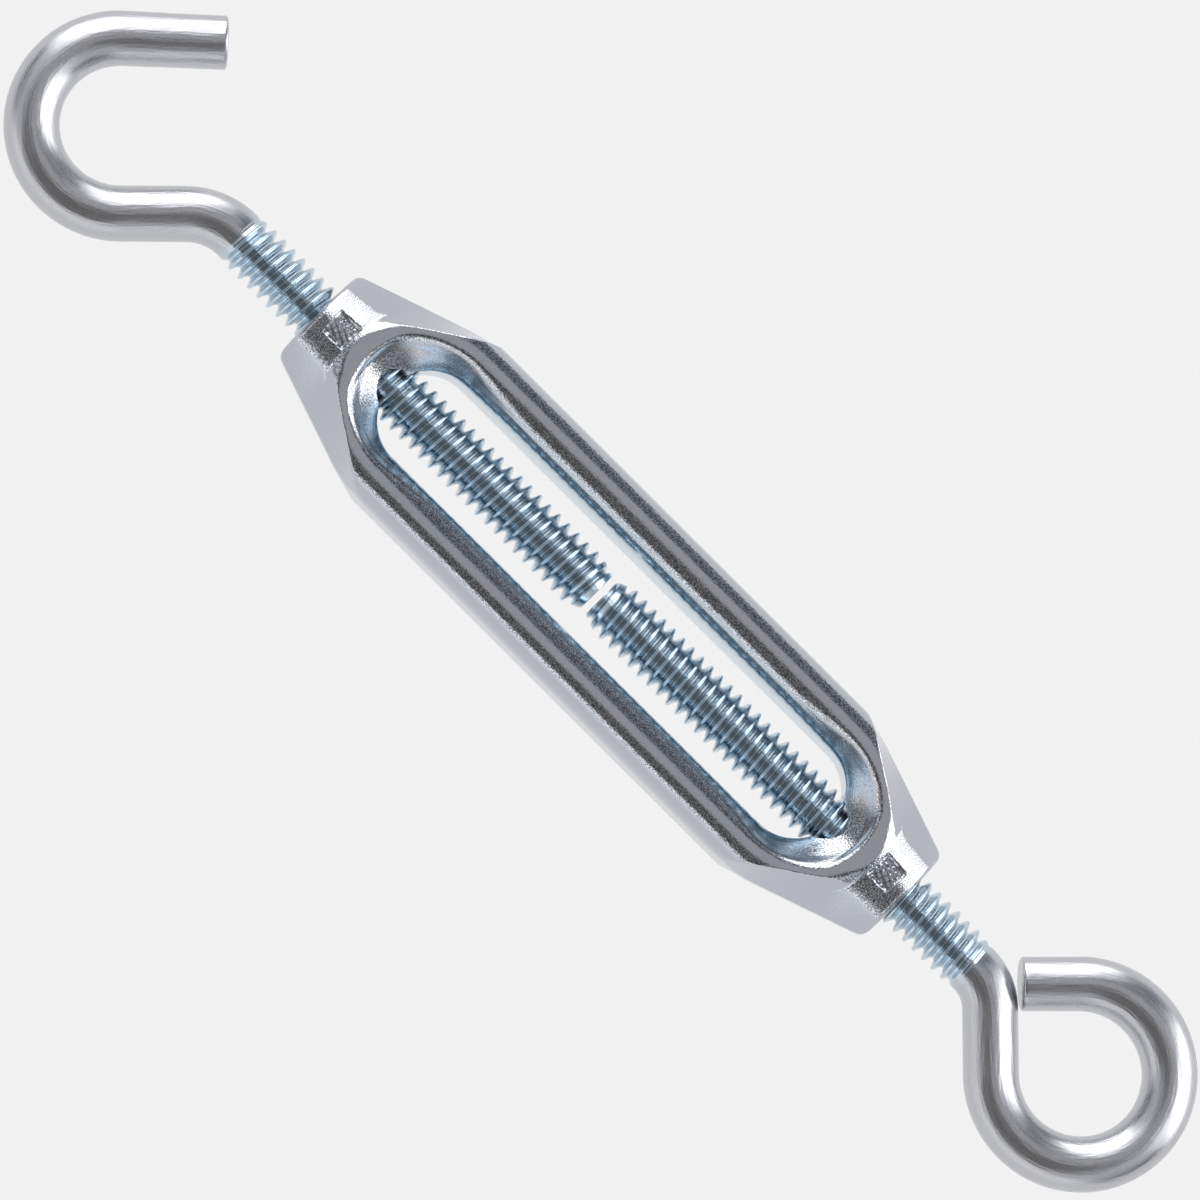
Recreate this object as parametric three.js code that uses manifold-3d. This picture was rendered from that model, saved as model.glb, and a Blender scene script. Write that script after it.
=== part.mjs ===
// Hook-and-eye rigging turnbuckle with #10-24 threads, in millimetres.
//
// X runs along the thread axis from the hook to the eye, Z is up through the flat of the casting, and the
// origin is at the bottom centre of the bounding box. The three real pieces are the cast body and two bolts
// bent from round wire: a hook bolt with a left-hand thread and an eye bolt with a right-hand thread.

import * as THREE from "three";
import { mergeVertices } from "three/addons/utils/BufferGeometryUtils.js";
import { ConvexGeometry } from "three/addons/geometries/ConvexGeometry.js";
import Module from "manifold-3d";

const wasm = await Module();
wasm.setup();

// Thread, #10-24 UNC
const THREAD = {
  pitch: 25.4 / 24,
  majorRadius: 4.826 / 2,
  depth: 0.7,
  stepsPerTurn: 12,
};
const WIRE_RADIUS = 2.11;
const WIRE_SIDES = 16;
const RIGHT_HAND = 1;
const LEFT_HAND = -1;

// Cast body
const BODY = {
  length: 65.2,
  width: 16.64,
  thickness: 8.2,
  endWidth: 8.9,
  taperLength: 11.3,
  shoulderReach: 2.4, // rounding where the taper starts
  endReach: 0.8, // rounding at the end face
  hubRadius: 4.0,
};
const WINDOW = { length: 49, width: 8.05 };
const RING = {
  apexX: 30.07, // tip of the ring's outer outline, on the thread axis
  cornerRadius: 5.4,
  diagonalAngle: THREE.MathUtils.degToRad(44), // slope of the outline between the two arcs
  crownInset: 1.0, // how far the flat crown lies inside the outline, and outside the window
  sideHeight: 1.0, // straight band at the parting line
  crownSteps: 4,
  hubSetback: 2.0, // from the window to where the hubs end, under the crown
};
const BORE = { clearance: 0.065, sides: 24 };
const PAD = { length: 2.3, width: 2.1, centreFromEnd: 2.2, floorRadius: 3.7 };

// Bolts. Each starts at its inner end, near the middle of the window.
const HOOK = {
  innerEndX: -1.52,
  threadLength: 39.6,
  neckBend: 45,
  neckRadius: 5.8,
  legLength: 5.7,
  bendRadius: 6.9,
  tipTilt: 2, // extra closing of the hook beyond half a turn, in degrees
  tipLength: 8.5,
};
const EYE = {
  innerEndX: -0.93,
  threadLength: 41.4,
  neckBend: 45,
  neckRadius: 4.5,
  legLength: 5.2,
  bendRadius: 7.06,
  turn: 270,
  tipLength: 4.68,
};
const ROD_END = { chamferRadius: 1.75, chamferLength: 0.6, runOut: 1.1 };
const HUB_SIDES = 32;
const ARC_STEPS = 12; // flats along each arc of an extruded outline
const WIRE_STEP = 0.95; // spacing of the sections along a bent wire
const CUT_MARGIN = 2; // how far a cutting solid runs past what it cuts

const castZinc = new THREE.MeshStandardMaterial({ color: 0xa3a3a6, metalness: 0.9, roughness: 0.42 });
const brightZinc = new THREE.MeshStandardMaterial({ color: 0xb9bec6, metalness: 1.0, roughness: 0.24 });

// A closed geometry as a solid that can be joined and cut.
function solidOf(geometry) {
  const bare = geometry.clone();
  bare.deleteAttribute("normal");
  bare.deleteAttribute("uv");
  const merged = mergeVertices(bare, 1e-4);
  const shell = new wasm.Mesh({
    numProp: 3,
    vertProperties: merged.attributes.position.array,
    triVerts: new Uint32Array(merged.index.array),
  });
  return new wasm.Manifold(shell);
}

function meshOf(name, solid, material) {
  const shell = solid.getMesh();
  const geometry = new THREE.BufferGeometry();
  geometry.setAttribute("position", new THREE.BufferAttribute(shell.vertProperties, 3));
  geometry.setIndex(new THREE.BufferAttribute(shell.triVerts, 1));
  geometry.computeVertexNormals();
  const mesh = new THREE.Mesh(geometry, material);
  mesh.name = name;
  return mesh;
}

// A cylinder along X.
function rodAlongX(radius, fromX, toX, sides) {
  const geometry = new THREE.CylinderGeometry(radius, radius, toX - fromX, sides);
  geometry.rotateZ(Math.PI / 2);
  geometry.translate((fromX + toX) / 2, 0, 0);
  return solidOf(geometry);
}

// A shape in the XY plane, extruded evenly above and below it.
function slab(shape, height, bevel = { bevelEnabled: false }) {
  const bevelHeight = bevel.bevelThickness ?? 0;
  const geometry = new THREE.ExtrudeGeometry(shape, {
    depth: height - 2 * bevelHeight,
    steps: 1,
    curveSegments: ARC_STEPS / 2, // an arc gets twice this many steps
    ...bevel,
  });
  geometry.translate(0, 0, bevelHeight - height / 2);
  return solidOf(geometry);
}

// A slot with half-round ends, centred on the origin.
function slotPath(path, length, width) {
  const radius = width / 2;
  const centreX = length / 2 - radius;
  path.absarc(centreX, 0, radius, -Math.PI / 2, Math.PI / 2, false);
  path.absarc(-centreX, 0, radius, Math.PI / 2, 1.5 * Math.PI, false);
  path.closePath();
  return path;
}

// The ring around the window: a long hexagon with straight rails, diagonals and rounded corners.
function ringShape() {
  const radius = RING.cornerRadius;
  const apexX = RING.apexX - radius;
  const shoulderY = BODY.width / 2 - radius;
  const normalAngle = Math.PI / 2 - RING.diagonalAngle;
  const shoulderX = apexX - shoulderY * Math.tan(normalAngle);
  const shape = new THREE.Shape();
  shape.absarc(shoulderX, -shoulderY, radius, -Math.PI / 2, -normalAngle, false);
  shape.absarc(apexX, 0, radius, -normalAngle, normalAngle, false);
  shape.absarc(shoulderX, shoulderY, radius, normalAngle, Math.PI / 2, false);
  shape.absarc(-shoulderX, shoulderY, radius, Math.PI / 2, Math.PI - normalAngle, false);
  shape.absarc(-apexX, 0, radius, Math.PI - normalAngle, Math.PI + normalAngle, false);
  shape.absarc(-shoulderX, -shoulderY, radius, Math.PI + normalAngle, 1.5 * Math.PI, false);
  shape.closePath();
  shape.holes.push(slotPath(new THREE.Path(), WINDOW.length, WINDOW.width));
  return shape;
}

// The body seen from above: straight rails and a straight taper to each end. Each corner is rounded by a
// curve that starts at its reach before the corner and ends as far after it.
function outlineShape() {
  const startX = BODY.length / 2 - BODY.taperLength;
  const quarter = [
    { x: startX, y: BODY.width / 2, reach: BODY.shoulderReach },
    { x: BODY.length / 2, y: BODY.endWidth / 2, reach: BODY.endReach },
  ];
  const half = [...quarter, ...quarter.toReversed().map((corner) => ({ ...corner, y: -corner.y }))];
  const corners = [...half, ...half.map((corner) => ({ ...corner, x: -corner.x, y: -corner.y }))];
  const shape = new THREE.Shape();
  corners.forEach(({ x, y, reach }, i) => {
    const corner = new THREE.Vector2(x, y);
    const before = corners.at(i - 1);
    const after = corners[(i + 1) % corners.length];
    const towards = (other) => corner.clone().add(corner.clone().sub(other).setLength(-reach));
    const from = towards(before);
    const to = towards(after);
    if (i === 0) shape.moveTo(from.x, from.y);
    else shape.lineTo(from.x, from.y);
    shape.quadraticCurveTo(x, y, to.x, to.y);
  });
  shape.closePath();
  return shape;
}

function ringSolid() {
  return slab(ringShape(), BODY.thickness, {
    bevelEnabled: true,
    bevelThickness: (BODY.thickness - RING.sideHeight) / 2,
    bevelSize: RING.crownInset,
    bevelOffset: -RING.crownInset,
    bevelSegments: RING.crownSteps,
  });
}

// One tapered end of the body: a round hub with straight flanks down to the parting line, as a convex solid.
function hubSolid(side) {
  const endX = BODY.length / 2;
  const startX = endX - BODY.taperLength;
  const points = [];
  for (const [x, width] of [[startX, BODY.width], [endX, BODY.endWidth]]) {
    for (const y of [-width / 2, width / 2]) points.push(new THREE.Vector3(side * x, y, 0));
    for (let i = 0; i < HUB_SIDES; i++) {
      const angle = ((i + 0.5) * 2 * Math.PI) / HUB_SIDES;
      const across = BODY.hubRadius * Math.cos(angle);
      points.push(new THREE.Vector3(side * x, across, BODY.hubRadius * Math.sin(angle)));
    }
  }
  return solidOf(new ConvexGeometry(points));
}

// The slot that ends both hubs under the ring's crown, so that only the ring borders the window.
function hubCutter() {
  const spread = 2 * RING.hubSetback;
  const shape = slotPath(new THREE.Shape(), WINDOW.length + spread, WINDOW.width + spread);
  return slab(shape, BODY.thickness + CUT_MARGIN);
}

function boreCutter(side) {
  const radius = (THREAD.majorRadius + BORE.clearance) / Math.cos(Math.PI / BORE.sides);
  const outer = side * (BODY.length / 2 + CUT_MARGIN);
  const inner = side * (WINDOW.length / 2 - CUT_MARGIN);
  return rodAlongX(radius, Math.min(outer, inner), Math.max(outer, inner), BORE.sides);
}

// The shallow rectangular recess on top of a hub.
function padCutter(side) {
  const geometry = new THREE.BoxGeometry(PAD.length, PAD.width, CUT_MARGIN);
  const x = side * (BODY.length / 2 - PAD.centreFromEnd);
  geometry.translate(x, 0, PAD.floorRadius + CUT_MARGIN / 2);
  return solidOf(geometry);
}

function bodySolid() {
  const outline = slab(outlineShape(), BODY.thickness + CUT_MARGIN);
  let body = hubSolid(-1).add(hubSolid(1)).subtract(hubCutter()).add(ringSolid()).intersect(outline);
  for (const side of [-1, 1]) {
    body = body.subtract(boreCutter(side)).subtract(padCutter(side));
  }
  return body;
}

// A V thread along X as one screw surface: the crest line and the root line wind round the axis together,
// and each end is a one-pitch ramp round the axis, to be trimmed square.
function threadSolid(length, hand) {
  const { pitch, majorRadius, depth, stepsPerTurn } = THREAD;
  const turns = Math.ceil(length / pitch) + 2;
  const steps = turns * stepsPerTurn;
  const positions = [];
  const pointAt = (step, x, radius) => {
    const angle = (hand * 2 * Math.PI * step) / stepsPerTurn;
    positions.push(x, radius * Math.cos(angle), radius * Math.sin(angle));
  };
  for (let step = 0; step <= steps; step++) {
    const x = (step / stepsPerTurn - 1) * pitch;
    pointAt(step, x, majorRadius);
    pointAt(step, x + pitch / 2, majorRadius - depth);
  }
  pointAt(0, -pitch, 0);
  pointAt(0, turns * pitch - pitch / 2, 0);
  const crest = (step) => 2 * step;
  const root = (step) => 2 * step + 1;
  const startCentre = 2 * (steps + 1);
  const endCentre = startCentre + 1;

  const triangles = [];
  const triangle = (a, b, c) => triangles.push(a, ...(hand === RIGHT_HAND ? [b, c] : [c, b]));
  const quad = (a, b, c, d) => {
    triangle(a, b, c);
    triangle(a, c, d);
  };
  for (let step = 0; step < steps; step++) {
    quad(crest(step), crest(step + 1), root(step + 1), root(step));
    if (step < steps - stepsPerTurn) {
      const next = step + stepsPerTurn;
      quad(root(step), root(step + 1), crest(next + 1), crest(next));
    }
  }
  for (let step = 0; step < stepsPerTurn; step++) {
    const last = steps - stepsPerTurn + step;
    triangle(startCentre, crest(step + 1), crest(step));
    triangle(endCentre, root(last), root(last + 1));
  }
  triangle(startCentre, crest(0), root(0));
  triangle(startCentre, root(0), crest(stepsPerTurn));
  triangle(endCentre, root(steps), crest(steps));
  triangle(endCentre, crest(steps), root(steps - stepsPerTurn));

  const geometry = new THREE.BufferGeometry();
  geometry.setAttribute("position", new THREE.Float32BufferAttribute(positions, 3));
  geometry.setIndex(triangles);
  return solidOf(geometry).intersect(threadEnvelope(length));
}

// The turned outline that the thread is trimmed to: a chamfered inner end and a conical run-out.
function threadEnvelope(length) {
  const outer = THREAD.majorRadius + 1;
  const slope = (outer - ROD_END.chamferRadius) / (THREAD.majorRadius - ROD_END.chamferRadius);
  const profile = [
    new THREE.Vector2(0, 0),
    new THREE.Vector2(ROD_END.chamferRadius, 0),
    new THREE.Vector2(outer, ROD_END.chamferLength * slope),
    new THREE.Vector2(outer, length - ROD_END.runOut * slope),
    new THREE.Vector2(ROD_END.chamferRadius, length),
    new THREE.Vector2(0, length),
  ];
  const geometry = new THREE.LatheGeometry(profile, BORE.sides);
  geometry.rotateZ(-Math.PI / 2);
  return solidOf(geometry);
}

// A round wire that starts on the thread axis inside the thread's end, heading along +X, and then follows
// moves of the form { straight } or { turn, radius }, with turns in degrees, positive to the left.
function wireSolid(startX, moves) {
  const path = new THREE.Path();
  const at = new THREE.Vector2(startX, 0);
  let heading = 0;
  path.moveTo(at.x, at.y);
  for (const move of moves) {
    if (move.straight) {
      at.x += move.straight * Math.cos(heading);
      at.y += move.straight * Math.sin(heading);
      path.lineTo(at.x, at.y);
      continue;
    }
    const way = Math.sign(move.turn);
    const toCentre = heading + (way * Math.PI) / 2;
    const centreX = at.x + move.radius * Math.cos(toCentre);
    const centreY = at.y + move.radius * Math.sin(toCentre);
    const fromAngle = toCentre + Math.PI;
    const toAngle = fromAngle + THREE.MathUtils.degToRad(move.turn);
    path.absarc(centreX, centreY, move.radius, fromAngle, toAngle, way < 0);
    heading += THREE.MathUtils.degToRad(move.turn);
    at.set(centreX + move.radius * Math.cos(toAngle), centreY + move.radius * Math.sin(toAngle));
  }
  const steps = Math.round(path.getLength() / WIRE_STEP);
  const spine = new THREE.CatmullRomCurve3(
    path.getSpacedPoints(steps).map((point) => new THREE.Vector3(point.x, point.y, 0)),
  );
  const section = new THREE.Shape();
  section.absarc(0, 0, WIRE_RADIUS, 0, 2 * Math.PI, false);
  const geometry = new THREE.ExtrudeGeometry(section, {
    steps,
    curveSegments: WIRE_SIDES / 2, // an arc gets twice this many steps
    bevelEnabled: false,
    extrudePath: spine,
  });
  return solidOf(geometry);
}

function hookBolt() {
  const startX = HOOK.threadLength - ROD_END.runOut;
  const wire = wireSolid(startX, [
    { straight: ROD_END.runOut },
    { turn: HOOK.neckBend, radius: HOOK.neckRadius },
    { straight: HOOK.legLength },
    { turn: -180 - HOOK.tipTilt, radius: HOOK.bendRadius },
    { straight: HOOK.tipLength },
  ]);
  const mesh = meshOf("hook_bolt", threadSolid(HOOK.threadLength, LEFT_HAND).add(wire), brightZinc);
  mesh.rotation.z = Math.PI;
  mesh.position.x = HOOK.innerEndX;
  return mesh;
}

function eyeBolt() {
  const startX = EYE.threadLength - ROD_END.runOut;
  const wire = wireSolid(startX, [
    { straight: ROD_END.runOut },
    { turn: -EYE.neckBend, radius: EYE.neckRadius },
    { straight: EYE.legLength },
    { turn: EYE.turn, radius: EYE.bendRadius },
    { straight: EYE.tipLength },
  ]);
  const mesh = meshOf("eye_bolt", threadSolid(EYE.threadLength, RIGHT_HAND).add(wire), brightZinc);
  mesh.position.x = EYE.innerEndX;
  return mesh;
}

const assembly = new THREE.Group();
assembly.add(meshOf("turnbuckle_body", bodySolid(), castZinc), hookBolt(), eyeBolt());

// Puts the origin at the bottom centre of the bounding box.
const bounds = new THREE.Box3().setFromObject(assembly, true);
const centre = bounds.getCenter(new THREE.Vector3());
assembly.position.set(-centre.x, -centre.y, -bounds.min.z);

const turnbuckle = new THREE.Group();
turnbuckle.add(assembly);

export default turnbuckle;
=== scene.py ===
"""Hook-and-eye rigging turnbuckle: a cast body and two bent, threaded bolts, made around the CAD frame.

Lengths are in millimetres from the centre of the body, with X along the threads from hook to eye and Z up.
They are turned into metres in the frame where a mesh or the camera is made. A height is above the middle
plane of the body.
"""

import math

import bpy
import numpy as np
from mathutils import Matrix, Vector, noise


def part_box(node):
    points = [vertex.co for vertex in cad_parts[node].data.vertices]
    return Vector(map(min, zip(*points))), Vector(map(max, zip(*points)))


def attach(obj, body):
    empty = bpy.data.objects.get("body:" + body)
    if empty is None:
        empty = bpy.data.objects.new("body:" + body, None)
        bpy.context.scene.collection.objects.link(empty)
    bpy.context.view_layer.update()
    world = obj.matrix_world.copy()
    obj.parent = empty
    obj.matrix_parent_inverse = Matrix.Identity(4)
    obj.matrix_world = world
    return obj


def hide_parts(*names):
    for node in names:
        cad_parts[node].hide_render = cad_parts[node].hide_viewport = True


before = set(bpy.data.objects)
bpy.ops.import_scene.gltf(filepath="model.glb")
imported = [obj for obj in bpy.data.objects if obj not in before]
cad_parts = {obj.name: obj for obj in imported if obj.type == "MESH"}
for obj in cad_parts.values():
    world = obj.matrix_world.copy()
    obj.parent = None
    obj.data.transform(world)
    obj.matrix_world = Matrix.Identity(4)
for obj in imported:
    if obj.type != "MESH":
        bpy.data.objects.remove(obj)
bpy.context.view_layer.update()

MM = 0.001
body_low, body_high = (np.array(corner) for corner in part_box("turnbuckle_body"))
hook_high = np.array(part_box("hook_bolt")[1])
eye_low = np.array(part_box("eye_bolt")[0])
CENTRE = (body_low + body_high) / 2
BODY_LENGTH, BODY_WIDTH, BODY_THICKNESS = (body_high - body_low) / MM
HOOK_INNER_END = (hook_high[0] - CENTRE[0]) / MM
EYE_INNER_END = (eye_low[0] - CENTRE[0]) / MM

# Cast body
END_WIDTH = 8.9
TAPER_LENGTH = 11.3
WINDOW_LENGTH = 49.0
WINDOW_WIDTH = 8.05
RING_APEX = 30.07  # tip of the ring's outer outline
RING_CORNER_RADIUS = 5.4
RING_DIAGONAL = math.radians(44)
RIDGE_HALF_WIDTH = 6.28  # the ring's highest line is a slot with elliptical ends
RIDGE_END = 7.75  # from the centre of the window's round end
RAIL_ENDS = (14, 25)  # |x| between which a rail's arch turns into the ring's end
ARCH_INNER_DROP = 3.0  # from the ridge of a rail to the top of the window's wall
ARCH_OUTER_DROP = 3.3  # from the ridge to the foot of the ring's outer side
ARCH_POWER = 2.7  # 2 is an ellipse, and more is squarer
CROWN_DOME = 0.08  # further drop per square millimetre from the ridge
CROWN_DOME_REACH = 1.5
FUNNEL_DROP = 2.3  # from the crown to the top of the window's wall at its round ends
FUNNEL_EDGE = 0.42  # softness of the edge above that slope
FUNNEL_FROM_RIDGE = 0.45
RING_FOOT_SLOPE = 6  # of the surface that carries on beyond the ring's outline
PARTING_HALF_HEIGHT = 0.4  # of the upright edge around the body
SIDE_ROUNDING = 0.8  # reach of the blends between the outline's straight sides
END_ROUNDING = 0.7
END_FILLET = 0.45
HUB_SINK = 1.25  # how far below the middle plane the hub's upper half has its axis
HUB_END_RADIUS = 4.7
HUB_CONE = 0.2  # growth of the hub's radius per millimetre towards the ring
HUB_TOP = 4.05
HUB_BLEND = 0.3  # reach of its blends with its flat top and with the ring
HUB_STEEPEST = math.radians(35)
HUB_STARTS = (21, 25)  # |x| between which the hub rises out of the ring
HUB_FROM_WINDOW = (1.6, 2.8)
HUB_SUNK = 4  # how far it lies below its own height before it rises
SHOULDER_END = 2.83  # half width between the upper edges of the flanks, at the hub
SHOULDER_START_X = 28.7  # where these edges begin to spread towards the ring
SHOULDER_SPREAD = 0.66
SHOULDER_TOP = 3.95
SHOULDER_END_TOP = 2.55
SHOULDER_RISE = 0.25  # per millimetre from the end
SHOULDER_BLEND = 0.6  # reach, seen from above
SHOULDER_TOP_BLEND = 0.4  # reach, seen from the side
FLANK_BULGE = 0.08
FLANK_EDGE = 0.05  # reach of the rounding of its upper edge
CROWN_EDGE = 0.02
FLANK_STARTS = (17, 22.5)  # |x| between which the flank comes down to cut the ring's side
FLANK_RAISED = 5  # how far it lies above its own height before it cuts
BORE_RADIUS = 2.5
BORE_PAST_ENDS = 2
PAD_LENGTH = 2.1
PAD_WIDTH = 2.1
PAD_FROM_END = 2.3
PAD_DEPTH = 0.3
PAD_EDGE = 0.16  # width of the step around the pad
PAD_DIMPLE_HEIGHT = 0.035
PAD_DIMPLE_PITCH = 0.68
PAD_DIMPLE_SLANTS = (0.4, 0.3)  # of the two sets of furrows that make the dimples
HIGHLIGHT_PATCH_STARTS = (26.8, 28.2)  # |x| between which each hub's patch of painted highlight begins; the specks are left off there so the burnt-out reflection shows solid white
HIGHLIGHT_PATCH_SIDES = (0.8, 1.2, 3.1, 3.5)  # y where it fades in, and out again
WAVES = ((7.0, 0.025), (1.6, 0.007))  # wavelength and height of the casting's unevenness

# Number 10-24 thread and the wire it is rolled on
PITCH = 25.4 / 24
CREST_RADIUS = 2.413
THREAD_DEPTH = 0.72
CREST_SHARE = 0.13  # of half a pitch that is crest, and as much is root
FLANK_SWELL = 0.06  # how much the flanks bulge, as a share of the thread's depth
RUN_OUT_PITCHES = 1.6
RUN_OUT_PAST = 0.1
THREAD_TINT_ENDS = (-1.0, 0.6)  # from the end of the thread, over which its painted blue and its polish fade out
CHAMFER_DEPTH = 0.62  # at the thread's inner end
CHAMFER_SLOPE = 0.4
WIRE_RADIUS = 2.22
WIRE_TIP_RADIUS = 2.15
WIRE_THINS = (12, 2)  # from the tip, where it starts and ends
WIRE_TIP_ROUNDING = 0.22
RIGHT_HAND = 1
LEFT_HAND = -1

# Finish. Colours are linear red, green, blue and alpha.
CAST_COLOUR = (0.50, 0.52, 0.56, 1)
# Bluer in the window: the plate's own slight blue, deepened as a painted reflection of light bounced between
# the walls there.
WINDOW_BOUNCE_COLOUR = (0.51, 0.61, 0.69, 1)
WIRE_COLOUR = (0.53, 0.535, 0.56, 1)
# Bluer on the thread than on the wire: the plate's own slight blue, deepened as a painted reflection of
# light bounced between the flanks.
THREAD_BOUNCE_COLOUR = (0.53, 0.625, 0.70, 1)
FLOOR_COLOUR = (0.86, 0.86, 0.865, 1)
GRAIN_SCALE = 8500  # cells per metre
GRAIN_BUMP = 0.000015
GRAIN_ROUGHNESS = (0.05, 0.10)
WINDOW_BOUNCE_TINT = (0.45, 0.95)  # share of the way from the ridge to the window between which its bluer colour, a painted reflection, fades in
# The specks paint glints and shade onto the casting's grain, only on the slopes where it catches the light.
SPECKS_BEGIN = (0.997, 0.97)  # the upward part of the normal, where a slope grows steep enough for specks
SPECKS_END = (0.68, 0.80)  # and too steep
SPECK_EDGES = (0.40, 0.60)  # of the grain's noise
PAINTED_GLINT_SHADES = (0.45, 1.5)
STREAK_SCALE = (0.5, 4.0, 4.0)  # cells per millimetre along the wire and across it
STREAK_BUMP = 0.00003
STREAK_ROUGHNESS = (0.18, 0.36)
THREAD_POLISH = 0.5

# Camera and light
CAMERA_TILT = math.radians(8)  # from straight overhead, towards -Y
CAMERA_SLANT = math.radians(44.9)  # of the object in the picture
CAMERA_DISTANCE = 750
CAMERA_AIM = (-0.9, -0.2, 0)
FRAME_WIDTH = 94.9
FLOOR_HALF_SIZE = 3000
FILL_STRENGTH = 2.99

HOOK = {
    "thread": 40.0,
    "hand": LEFT_HAND,
    "moves": [("turn", 45, 5.8), ("straight", 5.2), ("turn", -182, 7.0), ("straight", 8.25)],
}
EYE = {
    "thread": 41.5,
    "hand": RIGHT_HAND,
    "moves": [("turn", -45, 4.5), ("straight", 5.2), ("turn", 270, 7.14), ("straight", 4.68)],
}


def to_frame(points):
    """Points in millimetres from the body's centre, as metres in the frame."""
    return np.asarray(points) * MM + CENTRE


def smooth_step(value, low, high):
    t = np.clip((value - low) / (high - low), 0, 1)
    return t * t * (3 - 2 * t)


def smooth_min(a, b, reach):
    t = np.clip(reach - np.abs(a - b), 0, None) / reach
    return np.minimum(a, b) - t * t * reach / 4


def smooth_max(a, b, reach):
    return -smooth_min(-a, -b, reach)


def make_object(name, points, faces):
    mesh = bpy.data.meshes.new(name)
    mesh.from_pydata([tuple(p) for p in to_frame(points)], [], faces)
    mesh.validate()
    mesh.polygons.foreach_set("use_smooth", [True] * len(mesh.polygons))
    piece = bpy.data.objects.new(name, mesh)
    bpy.context.scene.collection.objects.link(piece)
    return piece


def set_attribute(piece, name, values):
    """Stores a number, or a vector, at each vertex for a material to use."""
    if values.ndim == 1:
        attribute = piece.data.attributes.new(name, "FLOAT", "POINT")
        attribute.data.foreach_set("value", values.astype(np.float32))
    else:
        attribute = piece.data.attributes.new(name, "FLOAT_VECTOR", "POINT")
        attribute.data.foreach_set("vector", values.astype(np.float32).ravel())


def band_faces(rows, columns, flip=False):
    """Quads between rows of vertices that each run once round and close on themselves."""
    faces = []
    for row in range(rows - 1):
        for column in range(columns):
            a = row * columns + column
            b = row * columns + (column + 1) % columns
            quad = (a, b, b + columns, a + columns)
            faces.append(quad[::-1] if flip else quad)
    return faces


# ---------------------------------------------------------------- cast body


def side_inset(x, y):
    """How far a point lies inside the body's straight and tapering sides, seen from above."""
    x, y = np.abs(x), np.abs(y)
    rise = (BODY_WIDTH - END_WIDTH) / 2
    slant = math.hypot(TAPER_LENGTH, rise)
    taper = ((BODY_LENGTH / 2 - x) * rise + (END_WIDTH / 2 - y) * TAPER_LENGTH) / slant
    return smooth_min(BODY_WIDTH / 2 - y, taper, SIDE_ROUNDING)


def outline_inset(x, y):
    """How far a point lies inside the body's whole outline, seen from above."""
    return smooth_min(side_inset(x, y), BODY_LENGTH / 2 - np.abs(x), END_ROUNDING)


def window_distance(x, y):
    """How far a point lies outside the window's slot."""
    radius = WINDOW_WIDTH / 2
    beyond = np.clip(np.abs(x) - (WINDOW_LENGTH / 2 - radius), 0, None)
    return np.hypot(beyond, y) - radius


def ring_inset(x, y):
    """How far a point lies inside the ring's outer outline: a hexagon rounded by the corner radius."""
    x, y = np.abs(x), np.abs(y)
    apex_x = RING_APEX - RING_CORNER_RADIUS
    shoulder_y = BODY_WIDTH / 2 - RING_CORNER_RADIUS
    along = np.array([-math.cos(RING_DIAGONAL), math.sin(RING_DIAGONAL)])
    shoulder_x = apex_x + shoulder_y * along[0] / along[1]
    reach = shoulder_y / along[1]
    t = np.clip((x - apex_x) * along[0] + y * along[1], 0, reach)
    to_edge = np.hypot(x - apex_x - t * along[0], y - t * along[1])
    to_core = np.where(x < shoulder_x, np.abs(y - shoulder_y), to_edge)
    normal = (x - apex_x) * along[1] - y * along[0]
    inside = (x < shoulder_x) & (y < shoulder_y) | (x >= shoulder_x) & (normal < 0)
    return RING_CORNER_RADIUS - np.where(inside, -to_core, to_core)


def from_window_centre(x, y):
    """Distance past the window's straight part, across it, and from its end centre or middle line."""
    beyond = np.clip(np.abs(x) - (WINDOW_LENGTH - WINDOW_WIDTH) / 2, 0, None)
    return beyond, np.abs(y), np.hypot(beyond, y)


def ridge_radius(x, y):
    """The ring's ridge, measured like from_window_centre in the direction of a point."""
    beyond, across, reach = from_window_centre(x, y)
    reach = np.maximum(reach, 1e-6)
    return 1 / np.hypot(beyond / reach / RIDGE_END, across / reach / RIDGE_HALF_WIDTH)


def ring_height(x, y):
    """An arch over each rail, which turns into a flat crown above a funnel round the window's ends."""
    reach = from_window_centre(x, y)[2]
    ridge = ridge_radius(x, y)
    inset = ring_inset(x, y)
    inside = np.clip(ridge - reach, 0, None)
    outside = np.clip(reach - ridge, 0, None)
    outer_share = outside / np.maximum(outside + np.clip(inset, 0, None), 1e-6)
    arch = ARCH_INNER_DROP * arch_drop(inside / (ridge - WINDOW_WIDTH / 2))
    funnel_width = ridge - WINDOW_WIDTH / 2 - FUNNEL_FROM_RIDGE
    into_funnel = np.clip(inside - FUNNEL_FROM_RIDGE, 0, funnel_width)
    funnel = FUNNEL_DROP * softened(into_funnel) / softened(funnel_width)
    endness = smooth_step(np.abs(x), *RAIL_ENDS)
    drop = arch + (funnel - arch) * endness + ARCH_OUTER_DROP * arch_drop(outer_share)
    drop = drop + CROWN_DOME * np.minimum(inside + outside, CROWN_DOME_REACH) ** 2
    return BODY_THICKNESS / 2 - drop + RING_FOOT_SLOPE * np.clip(inset, None, 0)


def softened(run):
    """A run measured from a softened corner."""
    return np.hypot(run, FUNNEL_EDGE) - FUNNEL_EDGE


def arch_drop(share):
    """How far a quarter of a superellipse has fallen, 0 to 1, at a share of the way across it."""
    return 1 - (1 - np.clip(share, 0, 1) ** ARCH_POWER) ** (1 / ARCH_POWER)


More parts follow.
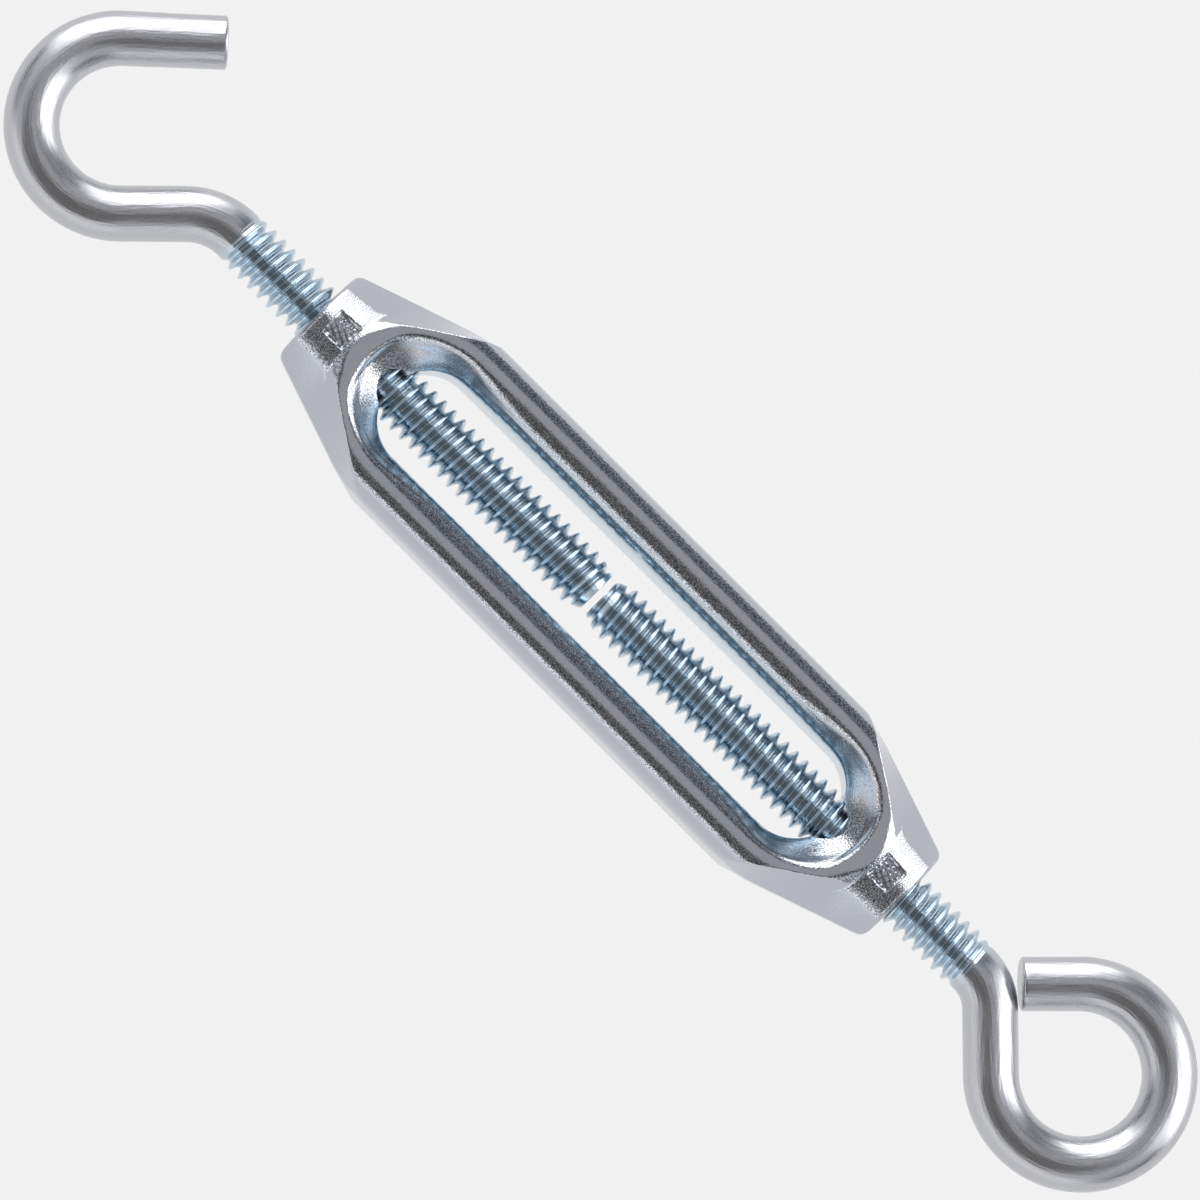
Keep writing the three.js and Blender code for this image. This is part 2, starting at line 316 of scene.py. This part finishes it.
def hub_height(x, y):
    """The top of a slightly conical hub, which carries on straight from where it is steepest."""
    from_end, y = BODY_LENGTH / 2 - np.abs(x), np.abs(y)
    radius = HUB_END_RADIUS + HUB_CONE * from_end
    turned = radius * math.sin(HUB_STEEPEST)
    dome = np.sqrt(radius**2 - np.minimum(y, turned) ** 2) - HUB_SINK
    height = dome - math.tan(HUB_STEEPEST) * np.clip(y - turned, 0, None)
    height = smooth_min(height, HUB_TOP, HUB_BLEND)
    height = height - HUB_SUNK * (1 - smooth_step(np.abs(x), *HUB_STARTS))
    return height - HUB_SUNK * (1 - smooth_step(window_distance(x, y), *HUB_FROM_WINDOW))


def flank_height(x, y):
    """The body's sides beyond the rails, from the edges of the crown and hubs down to the parting line."""
    x, y = np.abs(x), np.abs(y)
    from_end = BODY_LENGTH / 2 - x
    slope = (BODY_WIDTH - END_WIDTH) / 2 / TAPER_LENGTH
    half_width = smooth_min(END_WIDTH / 2 + from_end * slope, BODY_WIDTH / 2, SIDE_ROUNDING)
    spread = SHOULDER_END + (SHOULDER_START_X - x) * SHOULDER_SPREAD
    widest = BODY_WIDTH / 2 - SIDE_ROUNDING
    shoulder = smooth_max(smooth_min(spread, widest, SIDE_ROUNDING), SHOULDER_END, SHOULDER_BLEND)
    share = (half_width - y) / (half_width - shoulder)
    top = smooth_min(SHOULDER_END_TOP + SHOULDER_RISE * from_end, SHOULDER_TOP, SHOULDER_TOP_BLEND)
    rise = (top - PARTING_HALF_HEIGHT) * (share + FLANK_BULGE * share * (1 - share))
    return PARTING_HALF_HEIGHT + rise + FLANK_RAISED * (1 - smooth_step(x, *FLANK_STARTS))


def end_fillet(x, height):
    """Rounds the top edge of each end face."""
    inset = np.clip(BODY_LENGTH / 2 - np.abs(x), 0, END_FILLET)
    return np.minimum(height, height - END_FILLET + np.sqrt(END_FILLET**2 - (END_FILLET - inset) ** 2))


def pad_mask(x, y):
    """1 on the recessed pad of each hub and 0 around it."""
    along = PAD_LENGTH / 2 - np.abs(np.abs(x) - (BODY_LENGTH / 2 - PAD_FROM_END))
    across = PAD_WIDTH / 2 - np.abs(y)
    return smooth_step(np.minimum(along, across), -PAD_EDGE / 2, PAD_EDGE / 2)


def pad_floor(x, y):
    """The level, dimpled floor of the recessed pad on each hub."""
    level = hub_height(BODY_LENGTH / 2 - PAD_FROM_END, y) - PAD_DEPTH
    turn = 2 * math.pi / PAD_DIMPLE_PITCH
    first, second = PAD_DIMPLE_SLANTS
    dimples = np.sin(turn * (x + first * y)) * np.sin(turn * (y - second * x))
    return level + PAD_DIMPLE_HEIGHT * dimples


def casting_height(x, y):
    """Half the body's thickness at a point, before the pads are sunk."""
    height = smooth_max(ring_height(x, y), hub_height(x, y), HUB_BLEND)
    height = smooth_min(height, flank_height(x, y), FLANK_EDGE)
    height = smooth_min(height, BODY_THICKNESS / 2, CROWN_EDGE)
    return end_fillet(x, height)


def loop_stations(end_steps, rail_steps):
    """Points round the window's edge, with their outward directions, from its +X end by the +Y rail."""
    radius = WINDOW_WIDTH / 2
    centre = WINDOW_LENGTH / 2 - radius
    stations = []
    for side, start in ((1, -90), (-1, 90)):
        for i in range(end_steps):
            angle = math.radians(start + 180 * i / end_steps)
            direction = (math.cos(angle), math.sin(angle))
            x, y = side * centre + radius * direction[0], radius * direction[1]
            stations.append((x, y, *direction))
        for i in range(rail_steps):
            stations.append((side * centre * (1 - 2 * i / rail_steps), side * radius, 0, side))
    return np.array(stations)


def distance_to_edge(inset, stations):
    """How far along each station's direction an inset falls to nothing."""
    low = np.zeros(len(stations))
    high = np.full(len(stations), BODY_LENGTH)
    for _ in range(40):
        middle = (low + high) / 2
        x = stations[:, 0] + stations[:, 2] * middle
        y = stations[:, 1] + stations[:, 3] * middle
        inside = inset(x, y) > 0
        low = np.where(inside, middle, low)
        high = np.where(inside, high, middle)
    return low


def casting_rows(stations):
    """How far each row of the body's mesh is from the window's edge. The rows crowd together at creases."""
    wall_rows, edge_rows, flank_rows = 34, 22, 40
    outline = distance_to_edge(outline_inset, stations)
    foot = distance_to_edge(ring_inset, stations)
    ridge = ridge_radius(stations[:, 0] + stations[:, 2], stations[:, 1] + stations[:, 3]) - WINDOW_WIDTH / 2
    foot = np.minimum(foot, outline - 0.1 * (outline - ridge))
    rows = []
    for share in np.linspace(0, 1, wall_rows, endpoint=False):
        rows.append(ridge * share ** 1.4)
    for share in np.linspace(0, 1, edge_rows, endpoint=False):
        rows.append(ridge + (foot - ridge) * share)
    for share in np.linspace(0, 1, flank_rows):
        rows.append(foot + (outline - foot) * (0.5 * share + 0.5 * math.sin(share * math.pi / 2)))
    return np.array(rows)


def casting_mesh():
    """The casting before it is bored: points, faces, how much each point is inside, and where it carries
    painted specks, which is everywhere but the painted highlight patch on each hub.
    """
    end_steps, rail_steps, side_rows = 240, 100, 3
    stations = loop_stations(end_steps, rail_steps)
    distance = casting_rows(stations)
    x = stations[:, 0] + stations[:, 2] * distance
    y = stations[:, 1] + stations[:, 3] * distance
    height = casting_height(x, y)
    top = height + (pad_floor(x, y) - height) * pad_mask(x, y)
    sheets = [np.stack([x, y, top], -1)]
    shares = np.arange(1, side_rows + 1)[:, None] / (side_rows + 1)
    outer_z = top[-1] * (1 - shares) - height[-1] * shares
    inner_z = -height[0] * (1 - shares) + top[0] * shares
    sheets.append(np.stack([x[-1] + 0 * shares, y[-1] + 0 * shares, outer_z], -1))
    sheets.append(np.stack([x, y, -height], -1)[::-1])
    sheets.append(np.stack([x[0] + 0 * shares, y[0] + 0 * shares, inner_z], -1))
    rings = np.concatenate(sheets)
    count, columns = rings.shape[:2]
    faces = band_faces(count, columns, flip=True)
    last = (count - 1) * columns
    for column in range(columns):
        after = (column + 1) % columns
        faces.append((last + column, column, after, last + after))
    # How far in towards the window the painted blue of bounced light has come.
    share = 1 - window_distance(rings[..., 0], rings[..., 1]) / (RIDGE_HALF_WIDTH - WINDOW_WIDTH / 2)
    inside = smooth_step(share, *WINDOW_BOUNCE_TINT)
    return unevenness(rings.reshape(-1, 3)), faces, inside.ravel(), painted_specks(rings).ravel()


def painted_specks(points):
    """Where the grain carries painted specks: everywhere but a patch on the +Y side of each hub's top, which
    is left clear of them as a painted highlight so the burnt-out reflection there shows solid white.
    """
    x, y = np.abs(points[..., 0]), points[..., 1]
    lower, upper = HIGHLIGHT_PATCH_SIDES[:2], HIGHLIGHT_PATCH_SIDES[2:]
    across = smooth_step(y, *lower) * (1 - smooth_step(y, *upper))
    return 1 - smooth_step(x, *HIGHLIGHT_PATCH_STARTS) * across


def unevenness(points):
    """The slight waviness of a casting's skin."""
    moved = points.copy()
    for wavelength, height in WAVES:
        for i, point in enumerate(points):
            moved[i, 2] += height * noise.noise(point / wavelength) * np.sign(point[2])
    return moved


def cutting_rod(radius, start, stop, sides=64):
    angles = np.linspace(0, 2 * math.pi, sides, endpoint=False)
    circle = np.stack([np.zeros(sides), radius * np.cos(angles), radius * np.sin(angles)], -1)
    ends = [circle + (x, 0, 0) for x in (start, stop)]
    faces = [(i, (i + 1) % sides, sides + (i + 1) % sides, sides + i) for i in range(sides)]
    faces += [tuple(range(sides))[::-1], tuple(range(sides, 2 * sides))]
    return make_object("cutter", np.concatenate(ends), faces)


def cut(piece, cutter):
    modifier = piece.modifiers.new("cut", "BOOLEAN")
    modifier.operation = "DIFFERENCE"
    modifier.solver = "EXACT"
    modifier.object = cutter
    result = bpy.data.meshes.new_from_object(piece.evaluated_get(bpy.context.evaluated_depsgraph_get()))
    piece.modifiers.clear()
    piece.data = result
    bpy.data.objects.remove(cutter)


def make_casting():
    points, faces, inside, grain_and_glints = casting_mesh()
    piece = make_object("casting", points, faces)
    set_attribute(piece, "inside", inside)
    # The painted specks are left off a patch on each hub, which makes a painted highlight.
    set_attribute(piece, "painted_specks", grain_and_glints)
    for side in (-1, 1):
        inner = side * (WINDOW_LENGTH / 2 - BORE_PAST_ENDS)
        outer = side * (BODY_LENGTH / 2 + BORE_PAST_ENDS)
        cut(piece, cutting_rod(BORE_RADIUS, min(inner, outer), max(inner, outer)))
    return piece


# ---------------------------------------------------------------- bolts


def wire_route(thread_length, moves, step=0.3):
    """Stations beyond a bolt's thread: distance from its inner end, x, y, heading."""
    stations = []
    x, y, heading, travelled = thread_length, 0.0, 0.0, thread_length
    for move in moves:
        if move[0] == "straight":
            length, curvature = move[1], 0.0
        else:
            length = abs(math.radians(move[1])) * move[2]
            curvature = math.copysign(1 / move[2], move[1])
        count = max(1, round(length / step))
        for i in range(count):
            s = length * i / count
            turned = heading + curvature * s
            if curvature:
                dx = (math.sin(turned) - math.sin(heading)) / curvature
                dy = (math.cos(heading) - math.cos(turned)) / curvature
            else:
                dx, dy = s * math.cos(heading), s * math.sin(heading)
            stations.append((travelled + s, x + dx, y + dy, turned))
        end = heading + curvature * length
        if curvature:
            x += (math.sin(end) - math.sin(heading)) / curvature
            y += (math.cos(heading) - math.cos(end)) / curvature
        else:
            x += length * math.cos(heading)
            y += length * math.sin(heading)
        heading = end
        travelled += length
    stations.append((travelled, x, y, heading))
    return np.array(stations)


def thread_radius(distance, angle, hand):
    """The radius of a V thread with a narrow rounded crest and root."""
    phase = (distance / PITCH - hand * angle / (2 * math.pi)) % 1
    from_crest = np.abs(phase - 0.5) * 2
    fall = np.clip((from_crest - CREST_SHARE) / (1 - 2 * CREST_SHARE), 0, 1)
    eased = fall - FLANK_SWELL * np.sin(2 * math.pi * fall)
    return CREST_RADIUS - THREAD_DEPTH * eased


def bolt_route(bolt):
    """The stations of a whole bolt, close together in the thread and where the tip is rounded off."""
    rows_per_pitch = 18
    along = np.arange(0, bolt["thread"], PITCH / rows_per_pitch)
    straight = np.stack([along, along, 0 * along, 0 * along], -1)
    route = np.concatenate([straight, wire_route(bolt["thread"], bolt["moves"])])
    backs = (0.3, 0.16, 0.07, 0.02, 0.0)
    total, *tip, heading = route[-1]
    direction = np.array([math.cos(heading), math.sin(heading)])
    ends = [[total - back, *(tip - direction * back), heading] for back in backs]
    return np.concatenate([route[route[:, 0] < total - backs[0]], np.array(ends)])


def bolt_radius(bolt, distance, total, angle):
    """The radius of a bolt at distances from its inner end: a thread that runs out into plain wire."""
    thins, thinned = (total - back for back in WIRE_THINS)
    wire = WIRE_RADIUS + (WIRE_TIP_RADIUS - WIRE_RADIUS) * smooth_step(distance, thins, thinned)
    thread = bolt["thread"]
    fading = smooth_step(distance, thread - RUN_OUT_PITCHES * PITCH, thread + RUN_OUT_PAST)
    radius = thread_radius(distance, angle, bolt["hand"]) * (1 - fading) + wire * fading
    radius = np.minimum(radius, CREST_RADIUS - CHAMFER_DEPTH + distance * CHAMFER_SLOPE)
    into_rounding = np.clip(WIRE_TIP_ROUNDING - (total - distance), 0, None)
    fallen = WIRE_TIP_ROUNDING - np.sqrt(np.clip(WIRE_TIP_ROUNDING**2 - into_rounding**2, 0, None))
    return radius - fallen


def bolt_mesh(bolt):
    """A bolt's points and faces, and where each point would lie on a straight wire."""
    sides = 56
    route = bolt_route(bolt)
    total, *tip, _ = route[-1]
    angle = np.linspace(0, 2 * math.pi, sides, endpoint=False)[None]
    radius = bolt_radius(bolt, route[:, 0:1], total, angle)
    heading = route[:, 3:4]
    across = radius * np.cos(angle)
    x = route[:, 1:2] - across * np.sin(heading)
    y = route[:, 2:3] + across * np.cos(heading)
    z = radius * np.sin(angle)
    points = np.stack([x, y, z], -1).reshape(-1, 3)
    rows = len(route)
    faces = band_faces(rows, sides)
    first_centre, last_centre = len(points), len(points) + 1
    points = np.concatenate([points, [[0, 0, 0]], [[*tip, 0]]])
    for i in range(sides):
        after = (i + 1) % sides
        faces.append((first_centre, after, i))
        faces.append((last_centre, (rows - 1) * sides + i, (rows - 1) * sides + after))
    along = np.concatenate([np.repeat(route[:, 0], sides), [0, total]])
    around = np.concatenate([np.tile(angle[0], rows), [0, 0]])
    unbent = np.stack([along, WIRE_RADIUS * np.cos(around), WIRE_RADIUS * np.sin(around)], -1)
    return points, [face[::-1] for face in faces], unbent


def make_bolt(name, bolt, inner_end, facing):
    points, faces, unbent = bolt_mesh(bolt)
    points = points * (facing, facing, 1) + (inner_end, 0, 0)
    piece = make_object(name, points, faces)
    set_attribute(piece, "thread", 1 - smooth_step(unbent[:, 0] - bolt["thread"], *THREAD_TINT_ENDS))
    set_attribute(piece, "unbent", unbent)
    return piece


# ---------------------------------------------------------------- materials


class NodeMaths:
    """Short forms for building arithmetic out of shader nodes."""

    def __init__(self, tree):
        self.tree = tree

    def math(self, operation, *values):
        node = self.tree.nodes.new("ShaderNodeMath")
        node.operation = operation
        for socket, value in zip(node.inputs, values):
            self.feed(socket, value)
        return node.outputs[0]

    def feed(self, socket, value):
        if isinstance(value, bpy.types.NodeSocket):
            self.tree.links.new(value, socket)
        else:
            socket.default_value = value

    def ease(self, value, low, high):
        """Rises smoothly from 0 at low to 1 at high."""
        node = self.tree.nodes.new("ShaderNodeMapRange")
        node.interpolation_type = "SMOOTHSTEP"
        self.feed(node.inputs["Value"], value)
        falling = low > high
        node.inputs["From Min"].default_value = min(low, high)
        node.inputs["From Max"].default_value = max(low, high)
        node.inputs["To Min"].default_value = 1.0 if falling else 0.0
        node.inputs["To Max"].default_value = 0.0 if falling else 1.0
        return node.outputs["Result"]

    def blend(self, share, first, second):
        node = self.tree.nodes.new("ShaderNodeMix")
        node.data_type = "RGBA"
        self.feed(node.inputs["Factor"], share)
        self.feed(node.inputs["A"], first)
        self.feed(node.inputs["B"], second)
        return node.outputs["Result"]

    def spread(self, value, to_range, from_range=(0.0, 1.0)):
        """Maps one range evenly to another."""
        node = self.tree.nodes.new("ShaderNodeMapRange")
        self.feed(node.inputs["Value"], value)
        node.inputs["From Min"].default_value, node.inputs["From Max"].default_value = from_range
        node.inputs["To Min"].default_value, node.inputs["To Max"].default_value = to_range
        return node.outputs["Result"]

    def noise(self, place, scale, detail):
        node = self.tree.nodes.new("ShaderNodeTexNoise")
        node.inputs["Scale"].default_value = scale
        node.inputs["Detail"].default_value = detail
        self.feed(node.inputs["Vector"], place)
        return node.outputs["Fac"]

    def bump(self, height, distance):
        node = self.tree.nodes.new("ShaderNodeBump")
        node.inputs["Strength"].default_value = 1.0
        node.inputs["Distance"].default_value = distance
        self.feed(node.inputs["Height"], height)
        return node.outputs["Normal"]

    def attribute(self, name, output="Fac"):
        node = self.tree.nodes.new("ShaderNodeAttribute")
        node.attribute_name = name
        return node.outputs[output]


def new_material(name):
    material = bpy.data.materials.new(name)
    material.use_nodes = True
    return material, material.node_tree.nodes, material.node_tree.links


def cast_zinc():
    """Zinc plate over a grainy casting, with specks of painted glint and shade on the grain, and bluer
    inside the window as a painted reflection of light bounced between its walls.
    """
    material, nodes, links = new_material("cast_zinc")
    shader = nodes["Principled BSDF"]
    shader.inputs["Metallic"].default_value = 1.0
    sums = NodeMaths(material.node_tree)
    place = nodes.new("ShaderNodeTexCoord").outputs["Object"]
    grain_and_glints = sums.noise(place, GRAIN_SCALE, 1)
    links.new(sums.bump(grain_and_glints, GRAIN_BUMP), shader.inputs["Normal"])
    links.new(sums.spread(grain_and_glints, GRAIN_ROUGHNESS), shader.inputs["Roughness"])
    # Bluer towards the window: painted reflection of light bounced between its walls.
    tint = sums.blend(sums.attribute("inside"), CAST_COLOUR, WINDOW_BOUNCE_COLOUR)
    # Specks of painted glint and shade on the real grain show on the slopes beside the crown, where it
    # catches the light, and not on the crown itself or the flanks.
    facing = nodes.new("ShaderNodeSeparateXYZ")
    links.new(nodes.new("ShaderNodeNewGeometry").outputs["Normal"], facing.inputs[0])
    level = sums.math("ABSOLUTE", facing.outputs["Z"])
    sloping = sums.math("MULTIPLY", sums.ease(level, *SPECKS_BEGIN), sums.ease(level, *SPECKS_END))
    # The specks stay off each hub's patch of painted highlight.
    sloping = sums.math("MULTIPLY", sloping, sums.attribute("painted_specks"))
    shade = sums.blend(sloping, (1, 1, 1, 1), sums.spread(grain_and_glints, PAINTED_GLINT_SHADES, SPECK_EDGES))
    colour = nodes.new("ShaderNodeMix")
    colour.data_type = "RGBA"
    colour.blend_type = "MULTIPLY"
    colour.inputs["Factor"].default_value = 1.0
    links.new(tint, colour.inputs["A"])
    links.new(shade, colour.inputs["B"])
    links.new(colour.outputs["Result"], shader.inputs["Base Color"])
    return material


def bright_zinc():
    """Bright zinc plate on drawn wire, streaked along it, and smoother on the rolled thread, which is also
    bluer as a painted reflection of light bounced between its flanks.
    """
    material, nodes, links = new_material("bright_zinc")
    shader = nodes["Principled BSDF"]
    shader.inputs["Metallic"].default_value = 1.0
    sums = NodeMaths(material.node_tree)
    stretch = nodes.new("ShaderNodeMapping")
    stretch.inputs["Scale"].default_value = STREAK_SCALE
    links.new(sums.attribute("unbent", "Vector"), stretch.inputs["Vector"])
    streaks = sums.noise(stretch.outputs["Vector"], 1.0, 3)
    links.new(sums.bump(streaks, STREAK_BUMP), shader.inputs["Normal"])
    thread = sums.attribute("thread")
    polish = sums.math("MULTIPLY_ADD", thread, -THREAD_POLISH, 1.0)
    roughness = sums.math("MULTIPLY", sums.spread(streaks, STREAK_ROUGHNESS), polish)
    links.new(roughness, shader.inputs["Roughness"])
    # The thread's bluer colour is a painted reflection of light bounced between its flanks.
    links.new(sums.blend(thread, WIRE_COLOUR, THREAD_BOUNCE_COLOUR), shader.inputs["Base Color"])
    return material


# ---------------------------------------------------------------- stage


def make_floor():
    size = FLOOR_HALF_SIZE * MM
    mesh = bpy.data.meshes.new("floor")
    corners = [(-size, -size, 0), (size, -size, 0), (size, size, 0), (-size, size, 0)]
    mesh.from_pydata(corners, [], [(0, 1, 2, 3)])
    floor = bpy.data.objects.new("floor", mesh)
    bpy.context.scene.collection.objects.link(floor)
    material, nodes, _ = new_material("pale_floor")
    shader = nodes["Principled BSDF"]
    shader.inputs["Base Color"].default_value = FLOOR_COLOUR
    shader.inputs["Roughness"].default_value = 1.0
    shader.inputs["Specular IOR Level"].default_value = 0.0
    mesh.materials.append(material)


def view_axes():
    """The photograph's right, up and backward directions."""
    back = Vector((0, -math.sin(CAMERA_TILT), math.cos(CAMERA_TILT)))
    level = Vector((1, 0, 0))
    rising = Vector((0, math.cos(CAMERA_TILT), math.sin(CAMERA_TILT)))
    right = math.cos(CAMERA_SLANT) * level + math.sin(CAMERA_SLANT) * rising
    up = -math.sin(CAMERA_SLANT) * level + math.cos(CAMERA_SLANT) * rising
    return right, up, back


def make_camera():
    right, up, back = view_axes()
    distance = CAMERA_DISTANCE * MM
    aim = Vector(to_frame(CAMERA_AIM))
    camera = bpy.data.cameras.new("camera")
    camera.lens = camera.sensor_width * CAMERA_DISTANCE / FRAME_WIDTH
    camera.clip_start = 0.01
    holder = bpy.data.objects.new("camera", camera)
    axes = Matrix((right, up, back)).transposed().to_4x4()
    holder.matrix_world = Matrix.Translation(aim + back * distance) @ axes
    bpy.context.scene.collection.objects.link(holder)
    bpy.context.scene.camera = holder


def make_world():
    """The studio: a grey ceiling over the camera, dark walls, and white panels behind the object.

    Each part shades in between two values of x, y or z, the parts of a direction, or of polar, its angle in
    degrees from straight overhead. The studio is dark to scattered light, so that the floor is even.
    """
    ceiling, panel = (0.52, 0.52, 0.53, 1), (2.6, 2.6, 2.64, 1)
    near_wall, far_wall = (0.17, 0.165, 0.16, 1), (0.18, 0.19, 0.215, 1)
    side_wall, low_wall = (0.62, 0.64, 0.67, 1), (0.18, 0.18, 0.19, 1)
    front_glow, back_glow = (1.08, 1.08, 1.09, 1), (0.28, 0.30, 0.33, 1)
    ceiling_centre, ceiling_edge = 0.16, (0.29, 0.17)

    world = bpy.data.worlds.new("studio")
    world.use_nodes = True
    tree = world.node_tree
    sums = NodeMaths(tree)
    parts = tree.nodes.new("ShaderNodeSeparateXYZ")
    tree.links.new(tree.nodes.new("ShaderNodeTexCoord").outputs["Generated"], parts.inputs[0])
    x, y, z = parts.outputs
    sideways = sums.math("ABSOLUTE", x)
    polar = sums.math("DEGREES", sums.math("ARCCOSINE", z))

    sky = sums.blend(sums.ease(y, -0.3, 0.5), near_wall, far_wall)
    sky = sums.blend(sums.ease(sideways, 0.35, 0.7), sky, side_wall)
    sky = sums.blend(sums.ease(polar, 60, 80), sky, low_wall)
    ahead = sums.math("SUBTRACT", y, ceiling_centre)
    squares = sums.math("ADD", sums.math("POWER", x, 2.0), sums.math("POWER", ahead, 2.0))
    overhead = sums.ease(sums.math("SQRT", squares), *ceiling_edge)
    sky = sums.blend(sums.math("MULTIPLY", overhead, sums.ease(z, 0.0, 0.1)), sky, ceiling)
    front = sums.math("MULTIPLY", sums.ease(y, -0.35, -0.7), sums.ease(polar, 54, 64))
    sky = sums.blend(front, sky, front_glow)
    back = sums.math("MULTIPLY", sums.ease(y, 0.5, 0.8), sums.ease(polar, 60, 74))
    sky = sums.blend(back, sky, back_glow)
    panels = sums.math("MULTIPLY", sums.ease(y, 0.14, 0.30), sums.ease(sideways, 0.2, 0.4))
    sky = sums.blend(panels, sky, panel)

    background = tree.nodes["Background"]
    tree.links.new(sky, background.inputs["Color"])
    rays = tree.nodes.new("ShaderNodeLightPath")
    reflected = sums.math("LESS_THAN", rays.outputs["Diffuse Depth"], 0.5)
    tree.links.new(reflected, background.inputs["Strength"])
    bpy.context.scene.world = world


def make_fill():
    """An even overhead light that casts no shadow and shows in no reflection."""
    lamp = bpy.data.lights.new("fill", "SUN")
    lamp.energy = FILL_STRENGTH
    lamp.use_shadow = False
    holder = bpy.data.objects.new("fill", lamp)
    holder.visible_glossy = False
    bpy.context.scene.collection.objects.link(holder)


def leave_floor_even(piece):
    """Keeps a piece from shading or brightening the floor around it."""
    piece.visible_diffuse = False
    piece.visible_shadow = False


make_floor()
make_camera()
make_world()
make_fill()
bpy.context.scene.view_settings.view_transform = "Standard"

casting = make_casting()
casting.data.materials.clear()
casting.data.materials.append(cast_zinc())
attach(casting, "body")
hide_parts("turnbuckle_body")
leave_floor_even(casting)

zinc = bright_zinc()
for name, bolt, inner_end, facing, body, node in (
    ("hook_wire", HOOK, HOOK_INNER_END, -1, "hook", "hook_bolt"),
    ("eye_wire", EYE, EYE_INNER_END, 1, "eye", "eye_bolt"),
):
    piece = make_bolt(name, bolt, inner_end, facing)
    piece.data.materials.append(zinc)
    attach(piece, body)
    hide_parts(node)
    leave_floor_even(piece)
